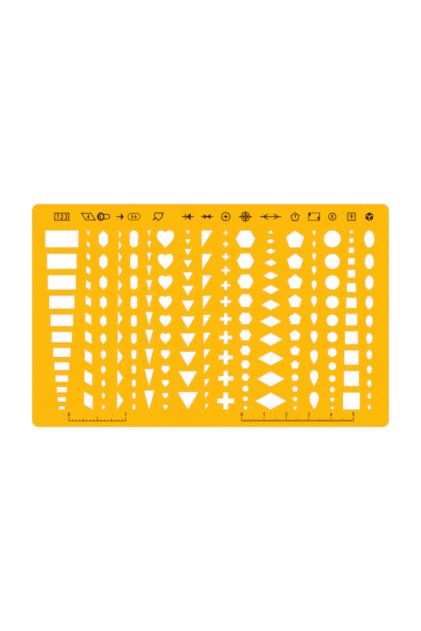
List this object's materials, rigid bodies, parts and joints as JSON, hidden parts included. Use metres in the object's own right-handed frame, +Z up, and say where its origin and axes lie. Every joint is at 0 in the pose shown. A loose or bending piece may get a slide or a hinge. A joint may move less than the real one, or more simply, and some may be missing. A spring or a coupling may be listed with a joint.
{
  "type": "jewellery design template",
  "caption": "Flat amber plastic drawing template with columns of graded gemstone-shaped cut-outs, a row of printed marks above them, and plain printed inch and millimetre scales.",
  "frame": {"origin": "middle of the underside of the sheet", "axes": "+X along the long side, to the right when the marks are read; +Y towards the row of printed marks; +Z up through the sheet, printed face up"},
  "size_m": [0.16, 0.1, 0.001],
  "materials": {
    "amber_plastic": "glossy translucent amber sheet",
    "black_ink": "matt brown-black screen print"
  },
  "bodies": {
    "root": {"printed_arrow": "black_ink", "printed_bolt": "black_ink", "printed_bow_tie": "black_ink", "printed_box_frame": "black_ink", "printed_box_numeral_1": "black_ink", "printed_box_numeral_2": "black_ink", "printed_box_numeral_3": "black_ink", "printed_box_with_drops": "black_ink", "printed_cube": "black_ink", "printed_diode": "black_ink", "printed_double_arrow": "black_ink", "printed_heart_and_arrow": "black_ink", "printed_inch_scale": "black_ink", "printed_inch_scale_numeral_0": "black_ink", "printed_inch_scale_numeral_1": "black_ink", "printed_metric_scale": "black_ink", "printed_metric_scale_numeral_0": "black_ink", "printed_metric_scale_numeral_1": "black_ink", "printed_metric_scale_numeral_2": "black_ink", "printed_metric_scale_numeral_3": "black_ink", "printed_metric_scale_numeral_4": "black_ink", "printed_metric_scale_numeral_5": "black_ink", "printed_oblong_frame": "black_ink", "printed_oblong_numeral_1": "black_ink", "printed_oblong_numeral_2": "black_ink", "printed_pentagon_frame": "black_ink", "printed_pentagon_numeral": "black_ink", "printed_round_frame": "black_ink", "printed_round_numeral": "black_ink", "printed_slanted_box_frame": "black_ink", "printed_slanted_box_numeral": "black_ink", "printed_square_frame": "black_ink", "printed_square_numeral": "black_ink", "printed_star": "black_ink", "printed_star_ring": "black_ink", "printed_target": "black_ink", "template_sheet": "amber_plastic"}
  },
  "joints": []
}
